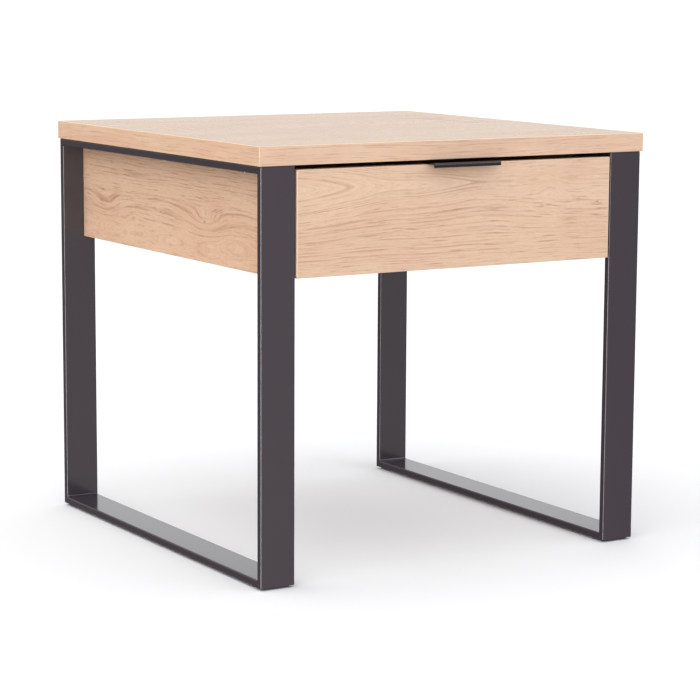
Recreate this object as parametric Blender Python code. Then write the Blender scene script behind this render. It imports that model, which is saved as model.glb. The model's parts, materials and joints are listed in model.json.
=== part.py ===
"""Side table with a drawer.

A square board top rests on two welded loops of flat steel tube, one at each side. Each loop holds a
side panel, and a back panel joins the two. A drawer hangs between the side panels on telescopic ball
runners, and opens towards -Y. The origin is on the floor, under the middle of the whole table with
its handle. X is to the right, +Y to the back and +Z up, in metres.
"""

from math import cos, pi, radians, sin

import bmesh
import bpy
from mathutils import Vector

# Overall size
TOP_WIDTH = 0.600
TOP_DEPTH = 0.600
TOP_THICKNESS = 0.025
HEIGHT = 0.568
GAP = 0.0003                      # clearance between neighbouring pieces

# Steel loops
TUBE_WIDTH = 0.050                # across the table
TUBE_THICKNESS = 0.010            # in the plane of the loop
TUBE_WALL = 0.0015
TUBE_CORNER = 0.0015
FRAME_SIDE_INSET = 0.003          # from the top's side edge to the loop
FRAME_FRONT_INSET = 0.002         # from the top's front edge to the loop
FRAME_LIFT = 0.003                # the glides hold the loops this far off the floor
GLIDE_LENGTH = 0.026
GLIDE_WIDTH = 0.040
GLIDE_INSET = 0.006

# Boards
BOARD = 0.018
PANEL_RECESS = 0.032              # from a loop's outer face to its side panel
PANEL_BOTTOM = 0.3995             # lower edge of the panels and of the drawer front

# Drawer front and box
FRONT_SIDE_GAP = 0.002
FRONT_TOP_GAP = 0.006
BOX_BOARD = 0.012
BOX_DEPTH = 0.470
BOX_LOW = 0.413
BOX_HIGH = 0.513
BOTTOM_BOARD = 0.005
BOTTOM_HEIGHT = 0.423             # underside of the drawer's bottom board
GROOVE_DEPTH = 0.006

# Handle: a bent strip on the drawer front's upper edge
HANDLE_WIDTH = 0.104
HANDLE_CENTRE_X = 0.003
HANDLE_REACH = 0.016              # ahead of the drawer front
HANDLE_FLANGE = 0.014             # over the drawer front's edge
HANDLE_LIP = 0.0060               # height of the turned-down lip
HANDLE_SHEET = 0.002
HANDLE_SCREW_SPACING = 0.070

# Telescopic runners
RUNNER_LENGTH = 0.450
RUNNER_WIDTH = 0.0127
RUNNER_FRONT_GAP = 0.003          # behind the drawer front
RUNNER_MIDDLE = 0.463             # height of the runners' centre line
BALL_SPACING = 0.034
BALLS_IN_ROW = 5
CAGE_LENGTH = 0.160

# Screws: radius and height of the head, then length and radius of the shank
RAIL_SCREW = (0.0048, 0.0026, 0.026, 0.0030)
PANEL_SCREW = (0.0045, 0.0030, 0.038, 0.0020)
CABINET_SCREW = (0.0035, 0.0014, 0.0135, 0.0018)
DRAWER_SCREW = (0.0035, 0.0014, 0.0105, 0.0018)
FRONT_SCREW = (0.0040, 0.0024, 0.0235, 0.0019)
HANDLE_SCREW = (0.0030, 0.0020, 0.014, 0.0015)
CLEARANCE = 0.0005                # round a screw where it passes through a tube

# Places of screws and dowels
RAIL_SCREW_INSET = 0.012          # from a loop's outer face
RAIL_SCREW_SPACING = 0.225
RAIL_SCREW_MIDDLE = -0.012        # the middle one, from the top's centre
PANEL_SCREW_SPACING = 0.300
DOWEL_RADIUS = 0.004
DOWEL_LENGTH = 0.030
DOWEL_CHAMFER = 0.0012
DOWEL_HEIGHTS = (0.433, 0.508)
RUNNER_SCREWS = (0.037, 0.357)    # from a runner's front end
FRONT_SCREW_SPACING = 0.300
ROUND = 12                        # sides of a round piece

# Finishes: colour, roughness, metallic
OAK = ((0.66, 0.47, 0.33, 1.0), 0.45, 0.0)
HARDBOARD = ((0.70, 0.62, 0.52, 1.0), 0.6, 0.0)
GRAPHITE = ((0.075, 0.068, 0.072, 1.0), 0.3, 0.4)
BLACK = ((0.02, 0.02, 0.02, 1.0), 0.35, 0.3)
ZINC = ((0.62, 0.63, 0.64, 1.0), 0.3, 1.0)
BIRCH = ((0.75, 0.60, 0.42, 1.0), 0.6, 0.0)
RUBBER = ((0.03, 0.03, 0.03, 1.0), 0.8, 0.0)

# Places that follow from the sizes
TOP_Y = (HANDLE_REACH - FRAME_FRONT_INSET) / 2
UNDERSIDE = HEIGHT - TOP_THICKNESS
FRAME_X = TOP_WIDTH / 2 - FRAME_SIDE_INSET
FRAME_FRONT = TOP_Y - TOP_DEPTH / 2 + FRAME_FRONT_INSET
FRAME_BACK = TOP_Y + TOP_DEPTH / 2
FRAME_TOP = UNDERSIDE - GAP
RAIL_UNDERSIDE = FRAME_TOP - TUBE_THICKNESS
PANEL_OUTER_X = FRAME_X - PANEL_RECESS
PANEL_INNER_X = PANEL_OUTER_X - BOARD
PANEL_FRONT = FRAME_FRONT + TUBE_THICKNESS + GAP
PANEL_BACK = FRAME_BACK - TUBE_THICKNESS - GAP
FRONT_HALF_WIDTH = FRAME_X - TUBE_WIDTH - FRONT_SIDE_GAP
FRONT_TOP = UNDERSIDE - FRONT_TOP_GAP
FRONT_BACK = FRAME_FRONT + BOARD
BOX_FRONT = FRONT_BACK + GAP
BOX_BACK = BOX_FRONT + BOX_DEPTH
BOX_X = PANEL_INNER_X - RUNNER_WIDTH - 2 * GAP
BOX_INNER_X = BOX_X - BOX_BOARD
RUNNER_FRONT = FRONT_BACK + RUNNER_FRONT_GAP
SIDES = (("left", -1), ("right", 1))


def finish(obj, look):
    """Give a piece its own material."""
    colour, roughness, metallic = look
    material = bpy.data.materials.new(obj.name + "_finish")
    material.use_nodes = True
    shader = material.node_tree.nodes["Principled BSDF"]
    shader.inputs["Base Color"].default_value = colour
    shader.inputs["Roughness"].default_value = roughness
    shader.inputs["Metallic"].default_value = metallic
    obj.data.materials.append(material)


def add_object(name, bm, look=None, location=(0, 0, 0), parent=None):
    """Turn a bmesh, drawn round its own origin, into an object of the scene."""
    bmesh.ops.recalc_face_normals(bm, faces=bm.faces)
    mesh = bpy.data.meshes.new(name)
    bm.to_mesh(mesh)
    bm.free()
    obj = bpy.data.objects.new(name, mesh)
    bpy.context.scene.collection.objects.link(obj)
    obj.location = location
    if parent is not None:
        obj.parent = parent
        obj.location = Vector(location) - parent.location
    if look is not None:
        finish(obj, look)
    return obj


def add_guide(name, location):
    """An empty that carries the pieces of one moving body."""
    guide = bpy.data.objects.new(name, None)
    guide.location = location
    bpy.context.scene.collection.objects.link(guide)
    return guide


def box_mesh(bm, low, high):
    """Add a box between two corners."""
    centre = (Vector(low) + Vector(high)) / 2
    size = Vector(high) - Vector(low)
    cube = bmesh.ops.create_cube(bm, size=1.0)["verts"]
    bmesh.ops.scale(bm, vec=size, verts=cube)
    bmesh.ops.translate(bm, vec=centre, verts=cube)


def ring_pair(bm, first, second):
    """Join two closed rings of vertices with a band of faces."""
    for i in range(len(first)):
        j = (i + 1) % len(first)
        bm.faces.new((first[i], first[j], second[j], second[i]))


def prism_mesh(bm, outline, axis, start, end):
    """Extrude a 2-D outline along X, Y or Z."""
    slot = "XYZ".index(axis)
    rings = []
    for t in (start, end):
        points = [(*point[:slot], t, *point[slot:]) for point in outline]
        rings.append([bm.verts.new(point) for point in points])
        bm.faces.new(rings[-1])
    ring_pair(bm, *rings)


def turned_mesh(bm, profile, centre=(0, 0, 0), direction=(0, 0, 1), segments=ROUND):
    """Turn (radius, height) points round an axis; the ends are closed to a point or a disc."""
    turn = Vector(direction).to_track_quat("Z", "Y")
    rings = []
    for radius, height in profile:
        angles = [2 * pi * i / segments for i in range(segments if radius > 0 else 1)]
        points = [Vector((radius * cos(a), radius * sin(a), height)) for a in angles]
        rings.append([bm.verts.new(turn @ point + Vector(centre)) for point in points])
    for lower, upper in zip(rings, rings[1:]):
        for i in range(segments):
            corners = (lower[i % len(lower)], lower[(i + 1) % len(lower)])
            corners += (upper[(i + 1) % len(upper)], upper[i % len(upper)])
            bm.faces.new(tuple(dict.fromkeys(corners)))
    for ring in (rings[0], rings[-1]):
        if len(ring) > 1:
            bm.faces.new(ring)


def smooth(obj):
    """Shade the round faces smooth and keep the sharp edges."""
    obj.data.shade_smooth()
    obj.data.set_sharp_from_angle(angle=radians(35))


def combine(obj, other, operation):
    """Cut a hidden solid out of a piece, or join it on."""
    other.hide_render = True
    other.display_type = "WIRE"
    modifier = obj.modifiers.new(operation.lower(), "BOOLEAN")
    modifier.operation = operation
    modifier.solver = "EXACT"
    modifier.object = other


def drill(obj, holes, parent=None):
    """Cut round holes, each (centre, direction, [(radius, depth), ...]) in world places."""
    bm = bmesh.new()
    for centre, direction, profile in holes:
        turned_mesh(bm, profile, centre, direction)
    combine(obj, add_object("cut_" + obj.name, bm, parent=parent), "DIFFERENCE")


def board(name, low, high, look=OAK, edge=0.0006, parent=None):
    """A flat board with eased edges, its origin at its middle."""
    centre = (Vector(low) + Vector(high)) / 2
    bm = bmesh.new()
    box_mesh(bm, Vector(low) - centre, Vector(high) - centre)
    obj = add_object(name, bm, look, centre, parent)
    if edge:
        bevel = obj.modifiers.new("eased_edges", "BEVEL")
        bevel.width = edge
        bevel.segments = 1
    return obj


def screw(name, centre, direction, size, parent=None, look=ZINC, flat=False):
    """A screw whose head rests at its origin and whose shank runs along the direction."""
    head_radius, head_height, length, radius = size
    profile = [(0, -head_height), (0.55 * head_radius, -0.95 * head_height)]
    profile += [(0.88 * head_radius, -0.62 * head_height), (head_radius, -0.2 * head_height)]
    profile += [(head_radius, 0)]
    if flat:
        profile = [(0, -head_height), (head_radius, -head_height)]
        profile += [(head_radius, -0.85 * head_height), (radius, -0.1 * head_height)]
    tip = 1.6 * radius
    profile += [(radius, 0), (radius, length - tip), (0, length)]
    bm = bmesh.new()
    turned_mesh(bm, profile, direction=direction)
    smooth(add_object(name, bm, look, centre, parent))


def pilot(size, depth):
    """Profile of the blind hole that a screw bites into."""
    return blind_hole(size[3] + GAP, depth)


def blind_hole(radius, depth):
    """Profile of a hole that starts just outside the surface."""
    return [(radius, -GAP), (radius, depth)]


def rounded_outline(width, height, radius, steps=3):
    """A rectangle round the origin with rounded corners."""
    points = []
    for quarter, (sx, sy) in enumerate(((1, 1), (-1, 1), (-1, -1), (1, -1))):
        cx = sx * (width / 2 - radius)
        cy = sy * (height / 2 - radius)
        for step in range(steps + 1):
            angle = pi / 2 * (quarter + step / steps)
            points.append((cx + radius * cos(angle), cy + radius * sin(angle)))
    return points


def mitred_tube(name, centre, along, outward, length):
    """A hollow flat tube with 45-degree ends; its outward face is the longer one."""
    along = Vector(along)
    outward = Vector(outward)
    outer = rounded_outline(TUBE_WIDTH, TUBE_THICKNESS, TUBE_CORNER)
    inner_width = TUBE_WIDTH - 2 * TUBE_WALL
    inner = rounded_outline(inner_width, TUBE_THICKNESS - 2 * TUBE_WALL, TUBE_CORNER / 3)
    bm = bmesh.new()
    rings = []
    for end in (-1, 1):
        for outline in (outer, inner):
            ring = []
            for across, thick in outline:
                reach = length / 2 - TUBE_THICKNESS / 2 + thick - GAP / 2
                ring.append(bm.verts.new(Vector((across, 0, 0)) + outward * thick + along * end * reach))
            rings.append(ring)
    ring_pair(bm, rings[0], rings[2])
    ring_pair(bm, rings[1], rings[3])
    ring_pair(bm, rings[0], rings[1])
    ring_pair(bm, rings[2], rings[3])
    obj = add_object(name, bm, GRAPHITE, centre)
    smooth(obj)
    return obj


def build_top():
    """The square board top, with a blind hole over each rail screw."""
    low = (-TOP_WIDTH / 2, TOP_Y - TOP_DEPTH / 2, UNDERSIDE)
    high = (TOP_WIDTH / 2, TOP_Y + TOP_DEPTH / 2, HEIGHT)
    top = board("top_panel", low, high)
    holes = []
    for _, sign in SIDES:
        for x, y in rail_screw_places(sign):
            holes.append(((x, y, UNDERSIDE), (0, 0, 1), pilot(RAIL_SCREW, 0.018)))
    drill(top, holes)


def rail_screw_places(sign):
    """Where the screws go up through one top rail."""
    x = sign * (FRAME_X - RAIL_SCREW_INSET)
    middle = TOP_Y + RAIL_SCREW_MIDDLE
    return [(x, middle + step * RAIL_SCREW_SPACING) for step in (-1, 0, 1)]


def panel_screw_places(sign):
    """Where the screws go down through one top rail into its side panel."""
    x = sign * (PANEL_OUTER_X + PANEL_INNER_X) / 2
    middle = (FRAME_FRONT + FRAME_BACK) / 2
    return [(x, middle + step * PANEL_SCREW_SPACING / 2) for step in (-1, 1)]


def build_loop(side, sign):
    """One welded loop: two posts and two rails, its screws and its glides."""
    x = sign * (FRAME_X - TUBE_WIDTH / 2)
    depth = FRAME_BACK - FRAME_FRONT
    height = FRAME_TOP - FRAME_LIFT
    middle_y = (FRAME_FRONT + FRAME_BACK) / 2
    middle_z = (FRAME_TOP + FRAME_LIFT) / 2
    half = TUBE_THICKNESS / 2
    mitred_tube(side + "_front_post", (x, FRAME_FRONT + half, middle_z), (0, 0, 1), (0, -1, 0), height)
    mitred_tube(side + "_rear_post", (x, FRAME_BACK - half, middle_z), (0, 0, 1), (0, 1, 0), height)
    mitred_tube(side + "_bottom_rail", (x, middle_y, FRAME_LIFT + half), (0, 1, 0), (0, 0, -1), depth)
    rail = mitred_tube(side + "_top_rail", (x, middle_y, FRAME_TOP - half), (0, 1, 0), (0, 0, 1), depth)

    up = (0, 0, 1)
    down = (0, 0, -1)
    holes = []
    through = RAIL_SCREW[3] + CLEARANCE
    for number, (sx, sy) in enumerate(rail_screw_places(sign), 1):
        seat = (sx, sy, RAIL_UNDERSIDE - GAP)
        screw(f"{side}_rail_screw_{number}", seat, up, RAIL_SCREW)
        holes.append((seat, up, [(through, 0), (through, TUBE_THICKNESS + 2 * GAP)]))
    through = PANEL_SCREW[3] + CLEARANCE
    access = PANEL_SCREW[0] + 2 * CLEARANCE
    for place, (sx, sy) in zip(("front", "rear"), panel_screw_places(sign)):
        screw(f"{side}_panel_screw_{place}", (sx, sy, RAIL_UNDERSIDE + TUBE_WALL + GAP), down, PANEL_SCREW)
        holes.append(((sx, sy, RAIL_UNDERSIDE), up, blind_hole(through, half)))
        holes.append(((sx, sy, RAIL_UNDERSIDE + half), up, blind_hole(access, TUBE_THICKNESS)))
    drill(rail, holes)

    near = FRAME_FRONT + GLIDE_INSET
    far = FRAME_BACK - GLIDE_INSET - GLIDE_LENGTH
    for place, start in (("front", near), ("rear", far)):
        low = (x - GLIDE_WIDTH / 2, start, 0)
        high = (x + GLIDE_WIDTH / 2, start + GLIDE_LENGTH, FRAME_LIFT - GAP)
        board(f"{side}_{place}_glide", low, high, RUBBER, 0.0004)


def dowel_places(sign):
    """Middles of the dowels between one side panel and the back panel."""
    y = PANEL_BACK - BOARD / 2
    return [Vector((sign * PANEL_INNER_X, y, z)) for z in DOWEL_HEIGHTS]


def runner_screw_places(sign, x):
    """Where the screws go through one runner member's web."""
    return [(sign * x, RUNNER_FRONT + step, RUNNER_MIDDLE) for step in RUNNER_SCREWS]


def build_side_panel(side, sign):
    """A side panel inside its loop, with holes for its screws, dowels and runner."""
    inner = sign * PANEL_INNER_X
    outer = sign * PANEL_OUTER_X
    low = (min(inner, outer), PANEL_FRONT, PANEL_BOTTOM)
    high = (max(inner, outer), PANEL_BACK, RAIL_UNDERSIDE - GAP)
    panel = board(side + "_side_panel", low, high)
    out = (sign, 0, 0)
    holes = []
    for x, y in panel_screw_places(sign):
        holes.append(((x, y, high[2]), (0, 0, -1), pilot(PANEL_SCREW, PANEL_SCREW[2])))
    for middle in dowel_places(sign):
        holes.append((middle, out, blind_hole(DOWEL_RADIUS + GAP, DOWEL_LENGTH / 3 + GAP)))
    for place in runner_screw_places(sign, PANEL_INNER_X):
        holes.append((place, out, pilot(CABINET_SCREW, CABINET_SCREW[2])))
    drill(panel, holes)


def build_back_panel():
    """The back panel between the side panels, and the dowels that locate it."""
    half = PANEL_INNER_X - GAP
    low = (-half, PANEL_BACK - BOARD, PANEL_BOTTOM)
    high = (half, PANEL_BACK, UNDERSIDE - GAP)
    panel = board("back_panel", low, high)
    holes = []
    end_radius = DOWEL_RADIUS - DOWEL_CHAMFER
    profile = [(0, 0), (end_radius, 0), (DOWEL_RADIUS, DOWEL_CHAMFER)]
    profile += [(DOWEL_RADIUS, DOWEL_LENGTH - DOWEL_CHAMFER), (end_radius, DOWEL_LENGTH), (0, DOWEL_LENGTH)]
    for side, sign in SIDES:
        inward = (-sign, 0, 0)
        for level, middle in zip(("lower", "upper"), dowel_places(sign)):
            start = middle + Vector((sign * DOWEL_LENGTH / 3, 0, 0))
            bm = bmesh.new()
            turned_mesh(bm, profile, direction=inward)
            smooth(add_object(f"{side}_dowel_{level}", bm, BIRCH, start))
            socket = blind_hole(DOWEL_RADIUS + GAP, DOWEL_LENGTH * 2 / 3 + 2 * GAP)
            holes.append((middle, inward, socket))
    drill(panel, holes)


def runner_outline(points, sign):
    """Mirror a half outline of (distance from the side panel, height) into a full channel."""
    half = [(sign * (PANEL_INNER_X - GAP - x / 1000), z / 1000) for x, z in points]
    return half + [(x, -z) for x, z in reversed(half)]


# Half sections of the runner members, in millimetres: distance from the side panel, height
CABINET_MEMBER = ((0, 22.5), (11.5, 22.5), (11.5, 20.0), (10.6, 20.0), (10.6, 21.3), (1.2, 21.3))
INTERMEDIATE_MEMBER = ((3.9, 17.7), (11.5, 17.7), (11.5, 16.6), (4.9, 16.6))
DRAWER_MEMBER = ((11.5, 12.1), (7.5, 12.1), (7.5, 11.6), (6.5, 11.6), (6.5, 13.1), (12.7, 13.1))
OUTER_CAGE = ((3.2, 19.7), (10.0, 19.7), (10.0, 19.3), (3.6, 19.3))
INNER_CAGE = ((5.2, 15.05), (10.4, 15.05), (10.4, 14.65), (5.6, 14.65))
BALL_X = 8.0
OUTER_BALL = (19.5, 1.5)          # height and radius
INNER_BALL = (14.85, 1.45)


def runner_member(name, points, sign, length=RUNNER_LENGTH, parent=None):
    """A channel of a runner, folded from strip, centred on the runner's length."""
    bm = bmesh.new()
    prism_mesh(bm, runner_outline(points, sign), "Y", -length / 2, length / 2)
    centre = (0, RUNNER_FRONT + RUNNER_LENGTH / 2, RUNNER_MIDDLE)
    return add_object(name, bm, ZINC, centre, parent)


def ball_cage(name, points, ball, sign, parent):
    """A cage with its two rows of balls, joined into one solid."""
    cage = runner_member(name, points, sign, CAGE_LENGTH, parent)
    height, radius = (value / 1000 for value in ball)
    x = sign * (PANEL_INNER_X - GAP - BALL_X / 1000)
    rings = 4
    profile = [(radius * sin(pi * i / rings), -radius * cos(pi * i / rings)) for i in range(rings + 1)]
    profile[0] = (0, -radius)
    profile[-1] = (0, radius)
    bm = bmesh.new()
    for row in (-1, 1):
        for step in range(BALLS_IN_ROW):
            y = (step - (BALLS_IN_ROW - 1) / 2) * BALL_SPACING
            turned_mesh(bm, profile, (x, y, row * height), segments=8)
    centre = (0, RUNNER_FRONT + RUNNER_LENGTH / 2, RUNNER_MIDDLE)
    combine(cage, add_object("join_" + name, bm, location=centre, parent=parent), "UNION")


def build_runner(side, sign, drawer):
    """One telescopic runner: three members, two ball cages and its screws."""
    inner = PANEL_INNER_X
    cabinet = runner_member(side + "_cabinet_runner", CABINET_MEMBER, sign)
    moving = runner_member(side + "_drawer_runner", DRAWER_MEMBER, sign, parent=drawer)
    place = (sign * inner, RUNNER_FRONT, RUNNER_MIDDLE)
    middle = add_guide(side + "_middle_slide", place)
    runner_member(side + "_middle_runner", INTERMEDIATE_MEMBER, sign, parent=middle)
    outer_guide = add_guide(side + "_outer_cage_slide", place)
    ball_cage(side + "_outer_ball_cage", OUTER_CAGE, OUTER_BALL, sign, outer_guide)
    inner_guide = add_guide(side + "_inner_cage_slide", place)
    ball_cage(side + "_inner_ball_cage", INNER_CAGE, INNER_BALL, sign, inner_guide)

    strip = 0.0012
    for start, member, word, size, parent in (
        (inner - GAP - strip - GAP, cabinet, "cabinet", CABINET_SCREW, None),
        (inner - GAP - RUNNER_WIDTH + strip + GAP, moving, "drawer", DRAWER_SCREW, drawer),
    ):
        direction = (sign if member is cabinet else -sign, 0, 0)
        holes = []
        for end, seat in zip(("front", "rear"), runner_screw_places(sign, start)):
            screw(f"{side}_{word}_screw_{end}", seat, direction, size, parent)
            holes.append((seat, direction, pilot(size, strip + 3 * GAP)))
        drill(member, holes, parent)


def front_screw_places():
    """Where the drawer front's screws enter from inside the drawer box."""
    z = (BOX_LOW + BOX_HIGH) / 2 + 0.012
    return [(step * FRONT_SCREW_SPACING / 2, z) for step in (-1, 1)]


def handle_screw_places():
    """Where the handle's screws enter the drawer front's upper edge."""
    y = FRAME_FRONT + HANDLE_FLANGE - 0.005
    return [(HANDLE_CENTRE_X + step * HANDLE_SCREW_SPACING / 2, y) for step in (-1, 1)]


def build_drawer_front(drawer):
    """The drawer front, flush with the front posts."""
    low = (-FRONT_HALF_WIDTH, FRAME_FRONT, PANEL_BOTTOM)
    high = (FRONT_HALF_WIDTH, FRONT_BACK, FRONT_TOP)
    front = board("drawer_front", low, high, parent=drawer)
    holes = []
    for x, z in front_screw_places():
        holes.append(((x, FRONT_BACK, z), (0, -1, 0), pilot(FRONT_SCREW, 0.0125)))
    for x, y in handle_screw_places():
        holes.append(((x, y, FRONT_TOP), (0, 0, -1), pilot(HANDLE_SCREW, 0.015)))
    drill(front, holes, drawer)


def build_handle(drawer):
    """The bent strip that the drawer is pulled by, and its two countersunk screws."""
    bottom = FRONT_TOP + GAP
    top = bottom + HANDLE_SHEET
    front = FRAME_FRONT - HANDLE_REACH
    back = FRAME_FRONT + HANDLE_FLANGE
    bend = HANDLE_SHEET
    steps = 4
    outline = [(back, bottom), (back, top)]
    for step in range(steps + 1):
        angle = pi / 2 * (1 + step / steps)
        outline.append((front + bend + bend * cos(angle), top - bend + bend * sin(angle)))
    lip = top - HANDLE_LIP
    outline += [(front, lip), (front + HANDLE_SHEET, lip), (front + HANDLE_SHEET, bottom)]
    bm = bmesh.new()
    centre = Vector((HANDLE_CENTRE_X, FRAME_FRONT, bottom))
    shifted = [(y - centre.y, z - centre.z) for y, z in outline]
    prism_mesh(bm, shifted, "X", -HANDLE_WIDTH / 2, HANDLE_WIDTH / 2)
    handle = add_object("handle", bm, BLACK, centre, drawer)
    smooth(handle)
    head_radius, head_height, _, radius = HANDLE_SCREW
    cone = [(head_radius + 0.0008, -head_height - GAP), (head_radius + CLEARANCE, -0.8 * head_height)]
    cone += [(radius + CLEARANCE, -0.05 * head_height), (radius + CLEARANCE, GAP)]
    holes = []
    for side, (x, y) in zip(("left", "right"), handle_screw_places()):
        seat = (x, y, bottom)
        screw("handle_screw_" + side, seat, (0, 0, -1), HANDLE_SCREW, drawer, BLACK, flat=True)
        holes.append((seat, (0, 0, -1), cone))
    drill(handle, holes, drawer)


def grooved_outline(outer, inner, low, high):
    """Section of a drawer board with the groove that holds the drawer's bottom."""
    depth = inner + (GROOVE_DEPTH + GAP) * (1 if outer > inner else -1)
    groove_low = BOTTOM_HEIGHT - GAP
    groove_high = BOTTOM_HEIGHT + BOTTOM_BOARD + GAP
    outline = [(outer, low), (inner, low), (inner, groove_low), (depth, groove_low)]
    return outline + [(depth, groove_high), (inner, groove_high), (inner, high), (outer, high)]


def build_drawer_box(drawer):
    """The drawer's four walls and its bottom."""
    for side, sign in SIDES:
        outline = grooved_outline(BOX_X * sign, BOX_INNER_X * sign, BOX_LOW, BOX_HIGH)
        bm = bmesh.new()
        prism_mesh(bm, outline, "Y", BOX_FRONT, BOX_BACK)
        bmesh.ops.translate(bm, vec=-drawer.location, verts=bm.verts)
        wall = add_object(f"drawer_{side}_side", bm, OAK, drawer.location, drawer)
        out = (-sign, 0, 0)
        bore = pilot(DRAWER_SCREW, DRAWER_SCREW[2])
        drill(wall, [(place, out, bore) for place in runner_screw_places(sign, BOX_X)], drawer)

    half = BOX_INNER_X - GAP
    outline = grooved_outline(BOX_FRONT, BOX_FRONT + BOX_BOARD, BOX_LOW, BOX_HIGH)
    bm = bmesh.new()
    prism_mesh(bm, outline, "X", -half, half)
    bmesh.ops.translate(bm, vec=-drawer.location, verts=bm.verts)
    inner_front = add_object("drawer_inner_front", bm, OAK, drawer.location, drawer)
    holes = []
    inside = BOX_FRONT + BOX_BOARD
    for side, (x, z) in zip(("left", "right"), front_screw_places()):
        seat = (x, inside + GAP, z)
        screw("front_screw_" + side, seat, (0, -1, 0), FRONT_SCREW, drawer)
        holes.append((seat, (0, -1, 0), pilot(FRONT_SCREW, BOX_BOARD + 3 * GAP)))
    drill(inner_front, holes, drawer)

    low = (-half, BOX_BACK - BOX_BOARD, BOTTOM_HEIGHT + BOTTOM_BOARD + GAP)
    board("drawer_back", low, (half, BOX_BACK, BOX_HIGH), parent=drawer)
    reach = BOX_INNER_X + GROOVE_DEPTH
    low = (-reach, BOX_FRONT + BOX_BOARD - GROOVE_DEPTH, BOTTOM_HEIGHT)
    board("drawer_bottom", low, (reach, BOX_BACK, BOTTOM_HEIGHT + BOTTOM_BOARD), HARDBOARD, 0, drawer)


def clear_scene():
    """Remove every object that the scene starts with."""
    for obj in list(bpy.data.objects):
        bpy.data.objects.remove(obj, do_unlink=True)


def main():
    clear_scene()
    build_top()
    build_back_panel()
    drawer = add_guide("drawer_slide", (0, FRAME_FRONT, RUNNER_MIDDLE))
    for side, sign in SIDES:
        build_loop(side, sign)
        build_side_panel(side, sign)
        build_runner(side, sign, drawer)
    build_drawer_front(drawer)
    build_handle(drawer)
    build_drawer_box(drawer)


main()
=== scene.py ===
"""Looks of the side table: welded steel loops, banded oak-look boards, the pull and the runners."""

import json
from math import cos, pi, radians, sin

import bmesh
import bpy
from mathutils import Matrix, Vector

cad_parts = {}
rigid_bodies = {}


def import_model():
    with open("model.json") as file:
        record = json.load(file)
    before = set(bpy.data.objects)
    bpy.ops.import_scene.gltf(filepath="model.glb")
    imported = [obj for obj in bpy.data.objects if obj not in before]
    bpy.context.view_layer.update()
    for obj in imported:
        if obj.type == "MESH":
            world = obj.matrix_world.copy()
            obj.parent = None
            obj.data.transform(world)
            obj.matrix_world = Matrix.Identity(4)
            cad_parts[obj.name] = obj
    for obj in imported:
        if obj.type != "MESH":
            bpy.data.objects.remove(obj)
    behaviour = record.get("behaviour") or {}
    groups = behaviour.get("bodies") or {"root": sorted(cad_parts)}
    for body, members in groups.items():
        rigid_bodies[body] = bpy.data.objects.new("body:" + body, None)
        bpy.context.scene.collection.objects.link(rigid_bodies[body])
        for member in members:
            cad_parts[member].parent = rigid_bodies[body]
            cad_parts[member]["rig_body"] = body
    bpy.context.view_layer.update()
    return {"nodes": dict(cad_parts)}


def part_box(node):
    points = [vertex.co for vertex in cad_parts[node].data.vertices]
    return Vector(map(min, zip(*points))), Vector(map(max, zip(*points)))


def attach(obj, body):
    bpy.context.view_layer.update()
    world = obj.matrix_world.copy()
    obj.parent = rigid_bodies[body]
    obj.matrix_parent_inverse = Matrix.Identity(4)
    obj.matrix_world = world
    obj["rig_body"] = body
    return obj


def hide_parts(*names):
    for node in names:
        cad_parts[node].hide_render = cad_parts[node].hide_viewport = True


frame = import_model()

SIDES = (("left", -1), ("right", 1))
AXES = {"X": Vector((1, 0, 0)), "Y": Vector((0, 1, 0)), "Z": Vector((0, 0, 1))}


# ---------------------------------------------------------------- shader nodes

class Nodes:
    """Adds nodes to a material's tree, and takes sockets or plain numbers as inputs."""

    def __init__(self, material):
        material.use_nodes = True
        self.tree = material.node_tree
        self.shader = self.tree.nodes["Principled BSDF"]

    def add(self, kind, inputs=(), **settings):
        node = self.tree.nodes.new(kind)
        for key, value in settings.items():
            setattr(node, key, value)
        pairs = inputs.items() if isinstance(inputs, dict) else enumerate(inputs)
        for key, value in pairs:
            self.put(node.inputs[key], value)
        return node

    def put(self, socket, value):
        if isinstance(value, bpy.types.NodeSocket):
            self.tree.links.new(value, socket)
        elif value is not None:
            socket.default_value = value

    def place(self):
        """The object's own coordinates, in metres from its origin."""
        return self.add("ShaderNodeTexCoord").outputs["Object"]

    def math(self, operation, *values):
        return self.add("ShaderNodeMath", values, operation=operation).outputs[0]

    def vector(self, x, y, z):
        return self.add("ShaderNodeCombineXYZ", (x, y, z)).outputs[0]

    def squeezed(self, place, scale):
        return self.add("ShaderNodeMapping", {"Vector": place, "Scale": scale}).outputs[0]

    def noise(self, place, scale=1.0, detail=2.0, roughness=0.5):
        sockets = {"Vector": place, "Scale": scale, "Detail": detail, "Roughness": roughness}
        return self.add("ShaderNodeTexNoise", sockets).outputs["Fac"]

    def noise_line(self, value, scale=1.0, detail=1.0):
        sockets = {"W": value, "Scale": scale, "Detail": detail}
        return self.add("ShaderNodeTexNoise", sockets, noise_dimensions="1D").outputs["Fac"]

    def fade(self, value, start, end, low=0.0, high=1.0):
        """Smooth step of a value from start to end, mapped to low and high."""
        sockets = {"Value": value, "From Min": start, "From Max": end, "To Min": low, "To Max": high}
        return self.add("ShaderNodeMapRange", sockets, interpolation_type="SMOOTHSTEP").outputs[0]

    def mix(self, amount, first, second, blend="MIX"):
        node = self.add("ShaderNodeMix", data_type="RGBA", blend_type=blend)
        self.put(node.inputs[0], amount)
        self.put(node.inputs[6], first)
        self.put(node.inputs[7], second)
        return node.outputs[2]

    def surface(self, **values):
        for key, value in values.items():
            self.put(self.shader.inputs[key.replace("_", " ")], value)

    def bump(self, height, distance, strength):
        sockets = {"Height": height, "Distance": distance, "Strength": strength}
        self.put(self.shader.inputs["Normal"], self.add("ShaderNodeBump", sockets).outputs[0])


def start_material(name):
    material = bpy.data.materials.new(name)
    return material, Nodes(material)


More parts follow.
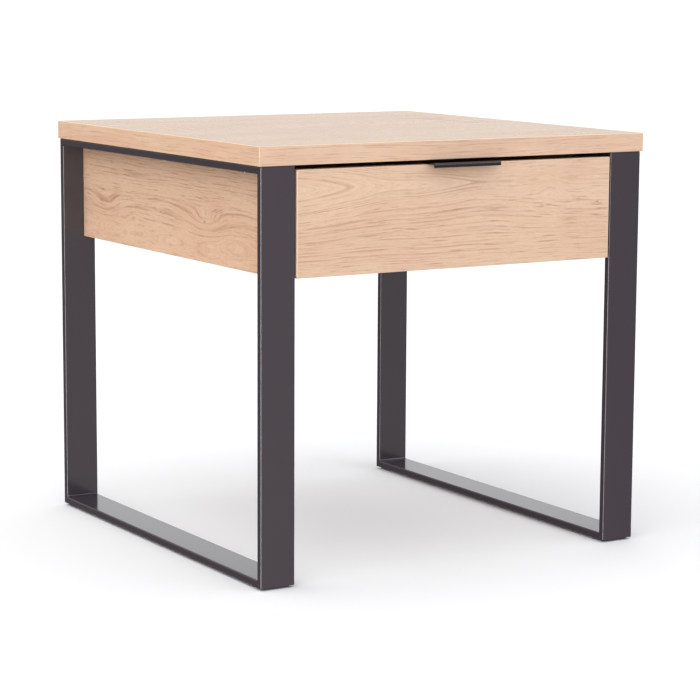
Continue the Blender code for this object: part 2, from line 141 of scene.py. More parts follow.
def srgb(red, green, blue):
    """A colour given on the 0 to 255 scale, as the shader's linear value."""
    scaled = (red / 255, green / 255, blue / 255)
    linear = [c / 12.92 if c <= 0.04045 else ((c + 0.055) / 1.055) ** 2.4 for c in scaled]
    return (*linear, 1.0)


# ---------------------------------------------------------------- materials

OAK_LIGHT = srgb(222, 193, 164)
OAK_PINK = srgb(217, 183, 155)
OAK_PALE = srgb(230, 206, 179)
OAK_LINE = srgb(166, 126, 98)
OAK_PORE = srgb(150, 112, 86)
OAK_KNOT = srgb(112, 78, 58)
UNTINTED = (1.0, 1.0, 1.0, 1.0)

# How far each figure of the print goes towards its own colour.
PALE_STRENGTH = 0.45
RING_STRENGTH = 0.56
DASH_STRENGTH = 0.66
FIBRE_STRENGTH = 0.22
PORE_STRENGTH = 0.22

# How far, in metres, the trunk's rings are bent out of true.
SWAY = 0.022
RIPPLE = 0.0050
ISLAND_WAVES = 0.03


def oak(
    name, along, across, seed, pith, depth, rises=(), wander=1.0, islands=0.3, point=2.0,
    swirls=(), pins=(), tint=UNTINTED, contrast=1.0, roughness=0.42, years=230.0, line=0.70, quiet=None,
):
    """Printed oak: grain that follows the growth rings of a trunk, in long broken lines and fine pores.

    along and across name the board's axes. pith is where the trunk's centre line crosses the board,
    depth how far behind the face it starts, and rises are (from, to, amount) by which it drifts off
    along the board, which closes the rings into arches; a low point sharpens the arches.
    wander bends the straight grain, and islands closes it into loops where it is nearly flat.
    swirls are (place along, place across, length, width, push) and bend the rings round knots.
    pins are (place along, place across, length, width, strength): small dark knots and streaks.
    years is the number of rings in a metre, line the share of a ring that its dark part takes,
    and quiet the stretch (from, to) along the board over which the rings fade.
    """
    material, n = start_material(name)
    split = n.add("ShaderNodeSeparateXYZ", (n.place(),)).outputs
    third = next(axis for axis in "XYZ" if axis not in (along, across))
    u, v, w = (split["XYZ".index(axis)] for axis in (along, across, third))

    def stretched(du, dv, shift, other=v):
        """A place with its own scale along and across the grain."""
        return n.vector(n.math("MULTIPLY_ADD", u, du, seed + shift), n.math("MULTIPLY", other, dv), w)

    def wave(du, dv, shift, detail, noise_roughness=0.5):
        """Noise about zero."""
        return n.math("SUBTRACT", n.noise(stretched(du, dv, shift), 1.0, detail, noise_roughness), 0.5)

    def hump(place_u, place_v, length, width):
        du = n.math("DIVIDE", n.math("SUBTRACT", u, place_u), length)
        dv = n.math("DIVIDE", n.math("SUBTRACT", v, place_v), width)
        square = n.math("ADD", n.math("MULTIPLY", du, du), n.math("MULTIPLY", dv, dv))
        return n.math("EXPONENT", n.math("MULTIPLY", square, -1.0))

    # Distance from the pith: sideways, and back behind the face.
    bent = n.math("MULTIPLY_ADD", wave(4.5, 9.0, 0.0, 1.0), SWAY * wander, v)
    bent = n.math("MULTIPLY_ADD", wave(26.0, 55.0, 3.1, 3.0, 0.6), RIPPLE * wander, bent)
    beside = n.math("ABSOLUTE", n.math("SUBTRACT", bent, pith))
    back = n.math("MULTIPLY_ADD", wave(10.0, 26.0, 6.3, 1.5), ISLAND_WAVES * islands, depth)
    for start, end, amount in rises:
        back = n.math("ADD", back, n.fade(u, start, end, 0.0, amount))
    back = n.math("MULTIPLY", back, n.fade(beside, 0.02, 0.10, 1.0, 0.35))
    back = n.math("POWER", n.math("ABSOLUTE", back), point)
    off = n.math("POWER", beside, point)
    ring = n.math("POWER", n.math("ADD", off, back), 1 / point)
    for place_u, place_v, length, width, push in swirls:
        ring = n.math("MULTIPLY_ADD", hump(place_u, place_v, length, width), push, ring)

    # Each year's dark line: some years are faint, and every line is broken.
    uneven = n.noise_line(n.math("ADD", ring, seed), 60.0)
    phase = n.math("ADD", n.math("MULTIPLY", ring, years), n.math("MULTIPLY", uneven, 3.0))
    turn = n.math("FRACT", phase)
    which = n.noise_line(n.math("MULTIPLY_ADD", n.math("FLOOR", phase), 3.7, seed), 1.0, 0.0)
    begins = n.fade(turn, 0.0, 0.14 * line)
    ends = n.fade(turn, 0.17 * line, line, 1.0, 0.0)
    year = n.math("MULTIPLY", begins, ends)
    year = n.math("MULTIPLY", year, n.fade(which, 0.35, 0.65, 0.15, 1.0))
    broken = n.noise(stretched(20.0, 170.0, 2.2, ring), 1.0, 2.0)
    year = n.math("MULTIPLY", year, n.fade(broken, 0.38, 0.60, 0.2, 1.0))
    if quiet:
        year = n.math("MULTIPLY", year, n.fade(u, quiet[0], quiet[1], 1.0, 0.35))

    # Short dashes and fibres run along the rings, and pores along the board.
    calm = n.fade(beside, 0.0, 0.04, 0.4, 1.0)
    dash = n.noise(stretched(22.0, 620.0, 4.4, ring), 1.0, 3.0, 0.62)
    dashes = n.math("MULTIPLY", n.fade(dash, 0.54, 0.68), calm)
    pale = n.fade(dash, 0.46, 0.28)
    fibre = n.fade(n.noise(stretched(90.0, 2100.0, 5.9, ring), 1.0, 2.0, 0.6), 0.40, 0.72)
    pores = n.fade(n.noise(stretched(240.0, 3600.0, 9.2), 1.0, 1.0), 0.58, 0.72)
    patch = n.fade(n.noise(stretched(5.0, 15.0, 11.0), 1.0, 2.0), 0.36, 0.66)

    colour = n.mix(patch, OAK_LIGHT, OAK_PINK)
    for figure, strength, shade in (
        (pale, PALE_STRENGTH, OAK_PALE),
        (year, RING_STRENGTH, OAK_LINE),
        (dashes, DASH_STRENGTH, OAK_LINE),
        (fibre, FIBRE_STRENGTH, OAK_LINE),
        (pores, PORE_STRENGTH, OAK_PORE),
    ):
        colour = n.mix(n.math("MULTIPLY", figure, strength * contrast), colour, shade)
    for place_u, place_v, length, width, strength in pins:
        amount = n.math("MULTIPLY", hump(place_u, place_v, length, width), strength)
        colour = n.mix(amount, colour, OAK_KNOT)
    # The tint multiplies the whole print; the top face and the side-facing faces get painted shade
    # through it.
    colour = n.mix(1.0, colour, tint, "MULTIPLY")
    n.surface(Base_Color=colour, Roughness=n.fade(fibre, 0.0, 1.0, roughness - 0.03, roughness + 0.05))
    n.bump(n.math("SUBTRACT", 1.0, n.math("ADD", pores, dashes)), 0.00004, 0.4)
    return material


def mottled(name, colours, roughness, grain, relief, strength, squeeze=None):
    """Two colours in a fine mottle. grain is (scale, detail, roughness) of its noise."""
    material, n = start_material(name)
    place = n.place()
    if squeeze:
        place = n.squeezed(place, squeeze)
    mottle = n.noise(place, *grain)
    n.surface(Base_Color=n.mix(mottle, *colours), Roughness=roughness)
    n.bump(mottle, relief, strength)
    return material


PEEL_SCALE = 1100.0        # bumps of the orange peel in a metre, roughly
PEEL_DEPTH = 0.000008
ZINC_LINES = 1400.0        # rolling lines in a metre, roughly


def powder_coat(name, colour, roughness, specular=0.5):
    """Powder coat: an even colour under a fine orange peel."""
    material, n = start_material(name)
    place = n.place()
    peel = n.noise(place, PEEL_SCALE, 2.0, 0.45)
    cloud = n.noise(place, 9.0, 3.0)
    darker = tuple(c * 0.9 for c in colour[:3]) + (1.0,)
    n.surface(Base_Color=n.mix(cloud, darker, colour), Specular_IOR_Level=specular)
    n.surface(Roughness=n.fade(peel, 0.2, 0.8, roughness - 0.02, roughness + 0.02))
    n.bump(peel, PEEL_DEPTH, 0.05)
    return material


def zinc(name, roughness=0.3, squeeze=(1.0, 0.04, 1.0)):
    """Rolled, zinc-plated steel with faint lengthwise lines and a bluish cloud."""
    material, n = start_material(name)
    place = n.place()
    lines = n.noise(n.squeezed(place, squeeze), ZINC_LINES, 2.0)
    cloud = n.noise(place, 40.0, 3.0)
    tint = n.mix(cloud, srgb(190, 193, 198), srgb(214, 214, 212))
    n.surface(Base_Color=tint, Metallic=1.0)
    n.surface(Roughness=n.fade(lines, 0.3, 0.7, roughness - 0.06, roughness + 0.08))
    n.bump(lines, 0.00001, 0.3)
    return material


# ---------------------------------------------------------------- mesh helpers

def link_new(name, mesh):
    obj = bpy.data.objects.new(name, mesh)
    bpy.context.scene.collection.objects.link(obj)
    return obj


def mesh_of(name, bm):
    mesh = bpy.data.meshes.new(name)
    bm.to_mesh(mesh)
    bm.free()
    return mesh


def add_piece(name, bm, materials, body, location, replaced):
    """Make an object of a bmesh drawn round its own origin, and hang it on its body."""
    obj = link_new(name, mesh_of(name, bm))
    obj.location = location
    for material in materials:
        obj.data.materials.append(material)
    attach(obj, body)
    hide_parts(*replaced)
    return obj


def smooth(obj, angle=30):
    """Shade the round faces smooth and keep the sharp edges."""
    obj.data.shade_smooth()
    obj.data.set_sharp_from_angle(angle=radians(angle))
    weighted = obj.modifiers.new("flat_faces_first", "WEIGHTED_NORMAL")
    weighted.keep_sharp = True


def arc(centre, radius, start, end, steps):
    """Points on an arc, angles in degrees."""
    angles = [radians(start + (end - start) * i / steps) for i in range(steps + 1)]
    return [(centre[0] + radius * cos(a), centre[1] + radius * sin(a)) for a in angles]


# ---------------------------------------------------------------- boards

BAND = 0.0016              # thickness of the edge band
ARRIS = 0.0007             # radius of its eased edges
BOARD_EDGE = 0.0006        # eased edges of the drawer box's boards,
GLIDE_EDGE = 0.0005        # of the glides,
SHEET_EDGE = 0.0003        # and of thin sheet and the runners


def box_in(bm, low, high, arris_axes=(), material=0, outward=None):
    """A box; the edges along the named axes that face outward get an arris."""
    low, high = Vector(low), Vector(high)
    middle = (low + high) / 2
    cube = bmesh.ops.create_cube(bm, size=1.0)["verts"]
    bmesh.ops.scale(bm, vec=high - low, verts=cube)
    bmesh.ops.translate(bm, vec=middle, verts=cube)
    faces = {face for vert in cube for face in vert.link_faces}
    for face in faces:
        face.material_index = material
    if outward is None:
        return
    chosen = []
    for edge in {edge for vert in cube for edge in vert.link_edges}:
        run = (edge.verts[1].co - edge.verts[0].co).normalized()
        place = (edge.verts[0].co + edge.verts[1].co) / 2
        along_axis = any(abs(run.dot(AXES[axis])) > 0.9 for axis in arris_axes)
        if along_axis and (place - middle).dot(outward) > 1e-6:
            chosen.append(edge)
    made = bmesh.ops.bevel(bm, geom=chosen, offset=ARRIS, segments=3, profile=0.5, affect="EDGES")
    for face in made["faces"]:
        face.material_index = material + 1


def banded_board(name, node, body, materials, first, second):
    """A laminated board: a printed core, and four edge bands with eased arrises.

    first names the axis whose two ends carry the longer bands, and second the other in-plane axis.
    materials are the printed face, then for each pair of bands its print and its plain plastic.
    """
    low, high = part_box(node)
    centre = (low + high) / 2
    half = (high - low) / 2
    a, b = "XYZ".index(first), "XYZ".index(second)
    normal = next(axis for axis in "XYZ" if axis not in (first, second))
    bm = bmesh.new()
    core = half.copy()
    core[a] -= BAND
    core[b] -= BAND
    box_in(bm, -core, core)
    for axis, index, other, other_reach, material in (
        (first, a, second, half[b], 1),
        (second, b, first, half[a] - BAND, 3),
    ):
        for sign in (-1, 1):
            lowest, highest = -half, half.copy()
            lowest["XYZ".index(other)] = -other_reach
            highest["XYZ".index(other)] = other_reach
            if sign > 0:
                lowest[index] = half[index] - BAND
            else:
                highest[index] = -half[index] + BAND
            arris = (other, normal) if material == 1 else (other,)
            box_in(bm, lowest, highest, arris, material, AXES[axis] * sign)
    obj = add_piece(name, bm, materials, body, centre, (node,))
    smooth(obj)


# ---------------------------------------------------------------- steel loops

EDGE_RADIUS = 0.0018       # outer radius of the tube's long edges
INNER_FILLET = 0.0022      # weld fillet in the loop's inner corners
OUTER_FILLET = 0.0005      # ground mitres outside
ROUND_STEPS = 4            # steps in each of these quarter rounds


def welded_loop(side, material):
    """One loop of flat tube: ground mitres outside, a small weld fillet in each inner corner."""
    nodes = [f"{side}_{part}" for part in ("front_post", "rear_post", "top_rail", "bottom_rail")]
    boxes = [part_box(node) for node in nodes]
    low = Vector([min(box[0][i] for box in boxes) for i in range(3)])
    high = Vector([max(box[1][i] for box in boxes) for i in range(3)])
    thickness = boxes[0][1].y - boxes[0][0].y
    centre = (low + high) / 2
    half = (high - low) / 2

    def rectangle(reach_y, reach_z, radius):
        points = []
        for quarter, (sy, sz) in enumerate(((1, 1), (-1, 1), (-1, -1), (1, -1))):
            middle = (sy * (reach_y - radius), sz * (reach_z - radius))
            points += arc(middle, radius, 90 * quarter, 90 * quarter + 90, ROUND_STEPS)
        return points

    outer = rectangle(half.y, half.z, OUTER_FILLET)
    inner = rectangle(half.y - thickness, half.z - thickness, INNER_FILLET)
    angles = [pi / 2 * i / ROUND_STEPS for i in range(ROUND_STEPS + 1)]
    edge = [(EDGE_RADIUS * (1 - cos(a)), EDGE_RADIUS * (1 - sin(a))) for a in angles]
    bm = bmesh.new()
    rings = []

    def ring(outline, x, inset, outward):
        made = []
        for y, z in outline:
            limit_y = half.y if outward else half.y - thickness
            limit_z = half.z if outward else half.z - thickness
            grow = -inset if outward else inset
            made.append(bm.verts.new((x, y * (limit_y + grow) / limit_y, z * (limit_z + grow) / limit_z)))
        return made

    for inset, drop in edge:
        rings.append(ring(outer, -half.x + inset, drop, True))
    for inset, drop in reversed(edge):
        rings.append(ring(outer, half.x - inset, drop, True))
    for inset, drop in edge:
        rings.append(ring(inner, half.x - inset, drop, False))
    for inset, drop in reversed(edge):
        rings.append(ring(inner, -half.x + inset, drop, False))
    for i, here in enumerate(rings):
        after = rings[(i + 1) % len(rings)]
        for j in range(len(here)):
            k = (j + 1) % len(here)
            bm.faces.new((here[j], here[k], after[k], after[j]))
    bmesh.ops.recalc_face_normals(bm, faces=bm.faces)
    obj = add_piece(f"{side}_loop", bm, [material], "carcass", centre, nodes)
    smooth(obj, 25)


# ---------------------------------------------------------------- pull

SHEET = 0.002              # the pull's thickness
BEND_RADIUS = 0.0026       # outside radius of its nose
LIP_CHAMFER = 0.0004
END_ARRIS = 0.0003


def bent_pull(material):
    """The strip that the drawer is pulled by, bent from sheet with a round nose."""
    low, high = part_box("handle")
    top = high.z - low.z
    reach = high.y - low.y
    width = high.x - low.x
    nose = (BEND_RADIUS, top - BEND_RADIUS)
    outline = [(reach, top - SHEET), (reach, top)]
    outline += arc(nose, BEND_RADIUS, 90, 180, 8)
    outline += [(0, LIP_CHAMFER), (LIP_CHAMFER, 0), (SHEET - LIP_CHAMFER, 0), (SHEET, LIP_CHAMFER)]
    outline += arc(nose, BEND_RADIUS - SHEET, 180, 90, 4)
    bm = bmesh.new()
    ends = [[bm.verts.new((x, y, z)) for y, z in outline] for x in (-width / 2, width / 2)]
    faces = [bm.faces.new(end) for end in ends]
    for i in range(len(outline)):
        j = (i + 1) % len(outline)
        faces.append(bm.faces.new((ends[0][i], ends[0][j], ends[1][j], ends[1][i])))
    bmesh.ops.recalc_face_normals(bm, faces=faces)
    rims = [edge for edge in bm.edges if len({round(vert.co.x, 5) for vert in edge.verts}) == 1]
    bmesh.ops.bevel(bm, geom=rims, offset=END_ARRIS, segments=2, profile=0.5, affect="EDGES")
    place = ((low.x + high.x) / 2, low.y, low.z)
    obj = add_piece("pull", bm, [material], "drawer", place, ("handle",))
    smooth(obj, 35)


# ---------------------------------------------------------------- screws

TURNED_SIDES = 24
ROOT = 0.78                # a thread's root radius over its outer radius


def turned(bm, profile):
    """Turn (radius, height) points round Z; a radius of 0 closes an end."""
    rings = []
    for radius, height in profile:
        steps = TURNED_SIDES if radius > 0 else 1
        angles = [2 * pi * i / steps for i in range(steps)]
        rings.append([bm.verts.new((radius * cos(a), radius * sin(a), height)) for a in angles])
    for lower, upper in zip(rings, rings[1:]):
        for i in range(TURNED_SIDES):
            corners = (lower[i % len(lower)], lower[(i + 1) % len(lower)])
            corners += (upper[(i + 1) % len(upper)], upper[i % len(upper)])
            bm.faces.new(tuple(dict.fromkeys(corners)))
    bmesh.ops.recalc_face_normals(bm, faces=bm.faces)


def cross_cutter(radius, depth, top):
    """A tapered cross that cuts the driver recess out of a screw head."""
    bm = bmesh.new()
    thin = radius * 0.24
    for turn in (0, pi / 2):
        made = bmesh.ops.create_cube(bm, size=1.0)["verts"]
        for vert in made:
            taper = 1.0 if vert.co.z < 0 else 0.45
            vert.co.x *= 2 * radius * taper
            vert.co.y *= 2 * thin * (0.6 + 0.4 * taper)
            vert.co.z = top - depth * 0.25 if vert.co.z < 0 else top + depth
        bmesh.ops.rotate(bm, verts=made, cent=(0, 0, 0), matrix=Matrix.Rotation(turn, 3, "Z"))
    return link_new("cross_cutter", mesh_of("cross_cutter", bm))


def threaded(radius, start, end, pitch):
    """Profile of a threaded shank that ends in a point."""
    root = radius * ROOT
    points = [(root, start)]
    for i in range(int((end - start - 1.6 * radius) / pitch)):
        crest = start + pitch * (i + 0.5)
        points += [(root, crest - 0.3 * pitch), (radius, crest), (root, crest + 0.3 * pitch)]
    return points + [(root, end - 1.6 * radius), (0, end)]


def pan_head(radius, height):
    """Profile of a domed head, from its crown to its seat."""
    points = [(0, -height)]
    for angle in (0.35, 0.7, 1.05, 1.35, 1.55):
        points.append((radius * sin(angle), -height * (0.25 + 0.75 * cos(angle))))
    return points + [(radius, -0.08 * height), (radius * 0.97, 0), (radius * 0.5, 0.0001)]


def screw_mesh(name, head, radius, length, pitch, recess):
    """A crosshead screw along +Z, its seat at the origin: made once and shared by its copies."""
    bm = bmesh.new()
    turned(bm, head + threaded(radius, 0.0002, length, pitch))
    blank = link_new(name, mesh_of(name, bm))
    crown = head[0][1]
    cutter = cross_cutter(recess, -crown * 0.62, crown)
    cut = blank.modifiers.new("recess", "BOOLEAN")
    cut.object = cutter
    cut.operation = "DIFFERENCE"
    cut.use_self = True
    bpy.context.view_layer.update()
    evaluated = blank.evaluated_get(bpy.context.evaluated_depsgraph_get())
    done = bpy.data.meshes.new_from_object(evaluated)
    bpy.data.objects.remove(blank)
    bpy.data.objects.remove(cutter)
    done.shade_smooth()
    done.set_sharp_from_angle(angle=radians(30))
    return done


def place_screws(mesh, material, nodes, axis, forward):
    """Set a shared screw mesh at each CAD screw, pointing forward (1) or back (-1) along the axis."""
    mesh.materials.clear()
    mesh.materials.append(material)
    index = "XYZ".index(axis)
    crown = -min(vert.co.z for vert in mesh.vertices)
    turn = (AXES[axis] * forward).to_track_quat("Z", "Y").to_matrix().to_4x4()
    for node in nodes:
        low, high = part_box(node)
        seat = (low + high) / 2
        seat[index] = low[index] + crown if forward > 0 else high[index] - crown
        obj = link_new(node + "_detail", mesh)
        obj.matrix_world = Matrix.Translation(seat) @ turn
        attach(obj, frame["nodes"][node]["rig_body"])
        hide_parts(node)


# ---------------------------------------------------------------- everything together

# Painted warm shade: the print on the side-facing faces is tinted warmer and a little darker than the
# same print in front.
SIDE_PAINTED_WARM_SHADE = (1.0, 0.975, 0.95, 1.0)
# Painted shade: the print on the top face is darkened, to offset the stronger light that falls on it from
# above.
TOP_PAINTED_SHADE_TINT = (0.79, 0.775, 0.73, 1)


def build_boards():
    """The top, the panels and the drawer front, each with its own figure."""
    plain_colours = (srgb(227, 199, 172), srgb(218, 189, 161))
    look = dict(roughness=0.42, grain=(700.0, 2.0), relief=0.00002, strength=0.4)
    plain = mottled("band_plain", plain_colours, **look)

    rises = ((-0.40, 0.40, 0.08),)
    look = dict(contrast=0.8, roughness=0.27, tint=TOP_PAINTED_SHADE_TINT)
    top_face = oak("oak_top", "X", "Y", seed=2.3, pith=0.06, depth=0.01, rises=rises, **look)
    look = dict(wander=0.5, contrast=0.75)
    top_front = oak("oak_top_front", "X", "Z", seed=5.1, pith=-0.10, depth=0.02, **look)
    top_side = oak("oak_top_side", "Y", "Z", seed=8.4, pith=-0.12, depth=0.02, tint=SIDE_PAINTED_WARM_SHADE, **look)
    prints = [top_face, top_front, plain, top_side, plain]
    banded_board("top_board", "top_panel", "carcass", prints, "Y", "X")

    swirls = (
        (-0.092, -0.012, 0.058, 0.017, 0.017),
        (-0.175, -0.034, 0.034, 0.010, -0.006),
        (0.215, -0.013, 0.050, 0.014, 0.012),
        (0.120, -0.020, 0.040, 0.009, -0.005),
    )
    pins = (
        (-0.088, -0.012, 0.0023, 0.0013, 0.75),
        (0.040, -0.010, 0.0016, 0.0009, 0.75),
        (0.115, 0.036, 0.030, 0.0032, 0.30),
        (-0.060, 0.044, 0.045, 0.0022, 0.16),
    )
    look = dict(pith=-0.045, depth=0.020, wander=0.6, islands=0.25, swirls=swirls, pins=pins)
    look.update(tint=SIDE_PAINTED_WARM_SHADE, years=150.0, line=0.5, contrast=1.2)
    for side, sign in SIDES:
        face = oak(f"oak_{side}_panel", "Y", "Z", seed=4.0 + sign, **look)
        ends = oak(f"oak_{side}_panel_end", "Z", "X", seed=1.0 + sign, pith=0.1, depth=0.03, wander=0.3)
        prints = [face, face, plain, ends, plain]
        banded_board(f"{side}_panel_board", f"{side}_side_panel", "carcass", prints, "Z", "Y")

    rises = ((-0.3, 0.3, 0.04),)
    face = oak("oak_back_panel", "X", "Z", seed=6.6, pith=0.01, depth=0.01, rises=rises)
    banded_board("back_board", "back_panel", "carcass", [face, face, plain, face, plain], "Z", "X")

    rises = ((-0.27, -0.09, 0.022), (-0.075, 0.042, 0.006))
    swirls = (
        (0.146, 0.030, 0.020, 0.012, 0.005),
        (0.240, -0.005, 0.120, 0.030, -0.008),
    )
    pins = ((0.225, 0.009, 0.0020, 0.0011, 0.75),)
    look = dict(pith=0.043, depth=0.003, rises=rises, wander=0.36, islands=0.05, point=1.4)
    look.update(swirls=swirls, pins=pins, quiet=(0.05, 0.10), line=0.6)
    face = oak("oak_drawer_front", "X", "Z", seed=3.0, **look)
    prints = [face, face, plain, plain, plain]
    banded_board("drawer_front_board", "drawer_front", "drawer", prints, "Z", "X")


def dress_cad_nodes():
    """Materials and eased edges for the CAD pieces whose shape is already right."""
    look = dict(depth=0.03, wander=0.6, contrast=0.8)
    box_side = oak("oak_drawer_side", "Y", "Z", seed=1.7, pith=-0.14, **look)
    box_end = oak("oak_drawer_end", "X", "Z", seed=9.4, pith=-0.15, **look)
    foil = (srgb(214, 200, 182), srgb(228, 216, 200))
    look = dict(roughness=0.55, grain=(260.0, 3.0, 0.6), relief=0.00004, strength=0.4)
    hardboard = mottled("pale_hardboard", foil, **look)
    wood = (srgb(214, 188, 150), srgb(232, 212, 180))
    look = dict(roughness=0.6, grain=(1500.0, 3.0), relief=0.00005, strength=0.5)
    dowel = mottled("birch_dowel", wood, squeeze=(0.05, 1.0, 1.0), **look)
    black = (srgb(24, 24, 25), srgb(36, 36, 38))
    look = dict(roughness=0.6, grain=(500.0, 2.0), relief=0.00004, strength=0.5)
    glide = mottled("glide_plastic", black, **look)
    runner = zinc("zinc_runner")
    cage = zinc("zinc_cage", roughness=0.24)

    looks = {
        "drawer_left_side": (box_side, BOARD_EDGE),
        "drawer_right_side": (box_side, BOARD_EDGE),
        "drawer_inner_front": (box_end, BOARD_EDGE),
        "drawer_back": (box_end, BOARD_EDGE),
        "drawer_bottom": (hardboard, SHEET_EDGE),
    }
    for side, _ in SIDES:
        for level in ("lower", "upper"):
            looks[f"{side}_dowel_{level}"] = (dowel, 0)
        for end in ("front", "rear"):
            looks[f"{side}_{end}_glide"] = (glide, GLIDE_EDGE)
        for member in ("cabinet", "middle", "drawer"):
            looks[f"{side}_{member}_runner"] = (runner, SHEET_EDGE)
        for level in ("outer", "inner"):
            looks[f"{side}_{level}_ball_cage"] = (cage, 0)
    for node, (material, edge) in looks.items():
        obj = frame["nodes"][node]
        obj.data.materials.clear()
        obj.data.materials.append(material)
        if edge:
            bevel = obj.modifiers.new("eased_edges", "BEVEL")
            bevel.width = edge
            bevel.segments = 2
            bevel.limit_method = "ANGLE"
            bevel.angle_limit = radians(40)


def build_screws():
    """Every screw, made from six shared meshes."""
    bright = zinc("zinc_screw", roughness=0.26, squeeze=(1.0, 1.0, 1.0))
    black = powder_coat("black_screw", srgb(26, 25, 27), roughness=0.34)
    ends = ("front", "rear")

    head = pan_head(radius=0.0048, height=0.0026)
    screw = screw_mesh("rail_screw", head, radius=0.003, length=0.026, pitch=0.001, recess=0.0024)
    nodes = [f"{side}_rail_screw_{i}" for side, _ in SIDES for i in (1, 2, 3)]
    place_screws(screw, bright, nodes, "Z", 1)

    head = pan_head(radius=0.0045, height=0.003)
    screw = screw_mesh("panel_screw", head, radius=0.002, length=0.038, pitch=0.0012, recess=0.0022)
    nodes = [f"{side}_panel_screw_{end}" for side, _ in SIDES for end in ends]
    place_screws(screw, bright, nodes, "Z", -1)

    head = pan_head(radius=0.0035, height=0.0014)
    thread = dict(radius=0.0018, pitch=0.0009, recess=0.0018)
    short = screw_mesh("runner_screw", head, length=0.0105, **thread)
    longer = screw_mesh("runner_screw_long", head, length=0.0135, **thread)
    for side, sign in SIDES:
        place_screws(longer, bright, [f"{side}_cabinet_screw_{end}" for end in ends], "X", sign)
        place_screws(short, bright, [f"{side}_drawer_screw_{end}" for end in ends], "X", -sign)

    head = pan_head(radius=0.004, height=0.0024)
    screw = screw_mesh("front_screw", head, radius=0.0019, length=0.0235, pitch=0.001, recess=0.002)
    place_screws(screw, bright, ["front_screw_left", "front_screw_right"], "Y", -1)

    head = [(0, -0.002), (0.0027, -0.002), (0.003, -0.00185), (0.003, -0.0017), (0.0015, -0.0002)]
    screw = screw_mesh("handle_screw", head, radius=0.0015, length=0.014, pitch=0.0008, recess=0.0016)
    nodes = ["handle_screw_left", "handle_screw_right"]
    place_screws(screw, black, nodes, "Z", -1)


# ---------------------------------------------------------------- stage

CAMERA_AZIMUTH = -31.245
CAMERA_ELEVATION = 8.786
CAMERA_ROLL = 0.317
CAMERA_DISTANCE = 3.472
CAMERA_AIM = (0.0108, 0.0, 0.2500)
CAMERA_LENS = 125.17       # on a 36 mm sensor

FLOOR_RADIUS = 400.0
FLOOR_WHITE = (0.77, 0.77, 0.775, 1.0)
FRONT_RIGHT = (0.515, -0.857, 0.0)
RIGHT = (1.0, 0.0, 0.0)
SKY = 0.86                 # brightness of the studio above the floor
BELOW_LIGHT = 0.98         # brightness of what gloss sees below the horizon, in front,
BELOW_DARK = 0.22          # and behind
RIGHT_SHADE = 0.64         # how much of that is left towards the right
SKY_TINT = (0.95, 0.96, 0.975, 1.0)
BELOW_TINT = (1.0, 0.94, 0.95, 1.0)
GROUND_TINT = (1.0, 0.60, 0.40)
KEY_TINT = (0.85, 1.05, 1.30)


def build_camera():
    """A long lens a little above the table's top, looking at its front-left corner."""
    azimuth, elevation = radians(CAMERA_AZIMUTH), radians(CAMERA_ELEVATION)
    back = Vector((sin(azimuth) * cos(elevation), -cos(azimuth) * cos(elevation), sin(elevation)))
    camera = link_new("camera", bpy.data.cameras.new("camera"))
    turn = (-back).to_track_quat("-Z", "Y").to_matrix().to_4x4()
    roll = Matrix.Rotation(radians(CAMERA_ROLL), 4, "Z")
    camera.matrix_world = Matrix.Translation(Vector(CAMERA_AIM) + back * CAMERA_DISTANCE) @ turn @ roll
    camera.data.lens = CAMERA_LENS
    camera.data.sensor_width = 36
    bpy.context.scene.camera = camera


def add_light(name, kind, location, target, power, size, diffuse=True, gloss=True, colour=(1, 1, 1)):
    """A soft light aimed at a point, which the camera doesn't see.

    size is a sun's angle in degrees, or an area light's sides in metres.
    """
    data = bpy.data.lights.new(name, kind)
    data.energy = power
    data.color = colour
    if kind == "AREA":
        data.shape = "RECTANGLE"
        data.size, data.size_y = size
    else:
        data.angle = radians(size)
    light = link_new(name, data)
    light.location = location
    light.rotation_mode = "QUATERNION"
    light.rotation_quaternion = (Vector(target) - Vector(location)).to_track_quat("-Z", "Y")
    light.visible_camera = False
    light.visible_diffuse = diffuse
    light.visible_glossy = gloss


def build_lights():
    """Three broad suns for an even floor, a warm bounce from below, and three cards for the gloss."""
    centre = (0, 0, 0)
    add_light("overhead", "SUN", (0.35, 0.45, 2.5), centre, power=0.85, size=80)
    add_light("key", "SUN", (1.7, -2.9, 1.2), centre, power=0.34, size=60, gloss=False, colour=KEY_TINT)
    add_light("fill", "SUN", (-2.5, -0.9, 2.1), centre, power=1.80, size=90, gloss=False)
    place, aim = (-2.2, -1.4, -1.3), (0, 0, 0.4)
    look = dict(gloss=False, colour=GROUND_TINT)
    add_light("ground", "AREA", place, aim, power=26, size=(2.5, 2.5), **look)
    place, aim = (1.6, -2.7, 1.9), (0, -0.3, 0.5)
    add_light("strip", "AREA", place, aim, power=34, size=(2.0, 0.35), diffuse=False)
    place, aim = (-1.30, -0.88, 0.25), (-0.3, -0.29, 0.25)
    add_light("rim", "AREA", place, aim, power=50, size=(1.0, 1.4), diffuse=False)
    place, aim = (0.9, 1.5, 0.4), (0, 0, 0.1)
    add_light("back_card", "AREA", place, aim, power=0.9, size=(1.6, 0.42), diffuse=False)


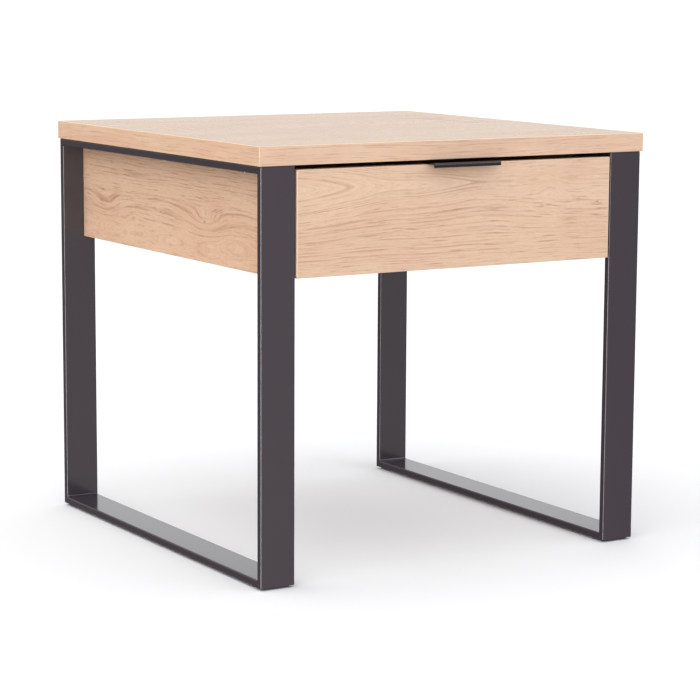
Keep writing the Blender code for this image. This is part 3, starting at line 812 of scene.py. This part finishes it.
def build_world():
    """An even studio: a white backdrop, and for gloss a ground that is light in front and dark behind."""
    world = bpy.data.worlds.new("studio")
    bpy.context.scene.world = world
    world.use_nodes = True
    tree = world.node_tree

    def add(kind, inputs=(), **settings):
        node = tree.nodes.new(kind)
        for key, value in settings.items():
            setattr(node, key, value)
        for socket, value in zip(node.inputs, inputs):
            if isinstance(value, bpy.types.NodeSocket):
                tree.links.new(value, socket)
            elif value is not None:
                socket.default_value = value
        return node.outputs

    way = add("ShaderNodeTexCoord")["Generated"]
    height = add("ShaderNodeSeparateXYZ", (way,))["Z"]
    ahead = add("ShaderNodeVectorMath", (way, FRONT_RIGHT), operation="DOT_PRODUCT")["Value"]
    below = add("ShaderNodeMapRange", (ahead, -0.3, 0.9, BELOW_DARK, BELOW_LIGHT))[0]
    beside = add("ShaderNodeVectorMath", (way, RIGHT), operation="DOT_PRODUCT")["Value"]
    shaded = add("ShaderNodeMapRange", (beside, 0.50, 0.61, 1.0, RIGHT_SHADE))[0]
    below = add("ShaderNodeMath", (below, shaded), operation="MULTIPLY")[0]
    above = add("ShaderNodeMapRange", (height, -0.05, -0.005, 0.0, 1.0))[0]
    strength = add("ShaderNodeMix", (above, None, below, SKY), data_type="FLOAT")[0]
    tint = tree.nodes.new("ShaderNodeMix")
    tint.data_type = "RGBA"
    tree.links.new(above, tint.inputs[0])
    tint.inputs[6].default_value = BELOW_TINT
    tint.inputs[7].default_value = SKY_TINT
    studio = tree.nodes["Background"]
    tree.links.new(tint.outputs[2], studio.inputs["Color"])
    tree.links.new(strength, studio.inputs["Strength"])
    backdrop = add("ShaderNodeBackground", (UNTINTED, 1.0))[0]
    seen = add("ShaderNodeLightPath")["Is Camera Ray"]
    choice = add("ShaderNodeMixShader", (seen, studio.outputs[0], backdrop))[0]
    tree.links.new(choice, tree.nodes["World Output"].inputs["Surface"])


def build_floor():
    """A white floor that runs out of sight and takes soft shadows, but lights nothing itself."""
    bm = bmesh.new()
    bmesh.ops.create_circle(bm, cap_ends=True, segments=96, radius=FLOOR_RADIUS)
    floor = link_new("floor", mesh_of("floor", bm))
    floor.visible_glossy = False
    floor.visible_diffuse = False
    floor.visible_shadow = False
    paint, n = start_material("floor_white")
    n.surface(Base_Color=FLOOR_WHITE, Roughness=1.0, Specular_IOR_Level=0.0)
    floor.data.materials.append(paint)


build_camera()
build_floor()
build_world()
build_lights()
bpy.context.scene.view_settings.view_transform = "Standard"

graphite = powder_coat("graphite_powder_coat", srgb(53, 47, 54), roughness=0.15)
for side, _ in SIDES:
    welded_loop(side, graphite)
build_boards()
bent_pull(powder_coat("black_powder_coat", srgb(22, 15, 14), roughness=0.20, specular=0.34))
build_screws()
dress_cad_nodes()
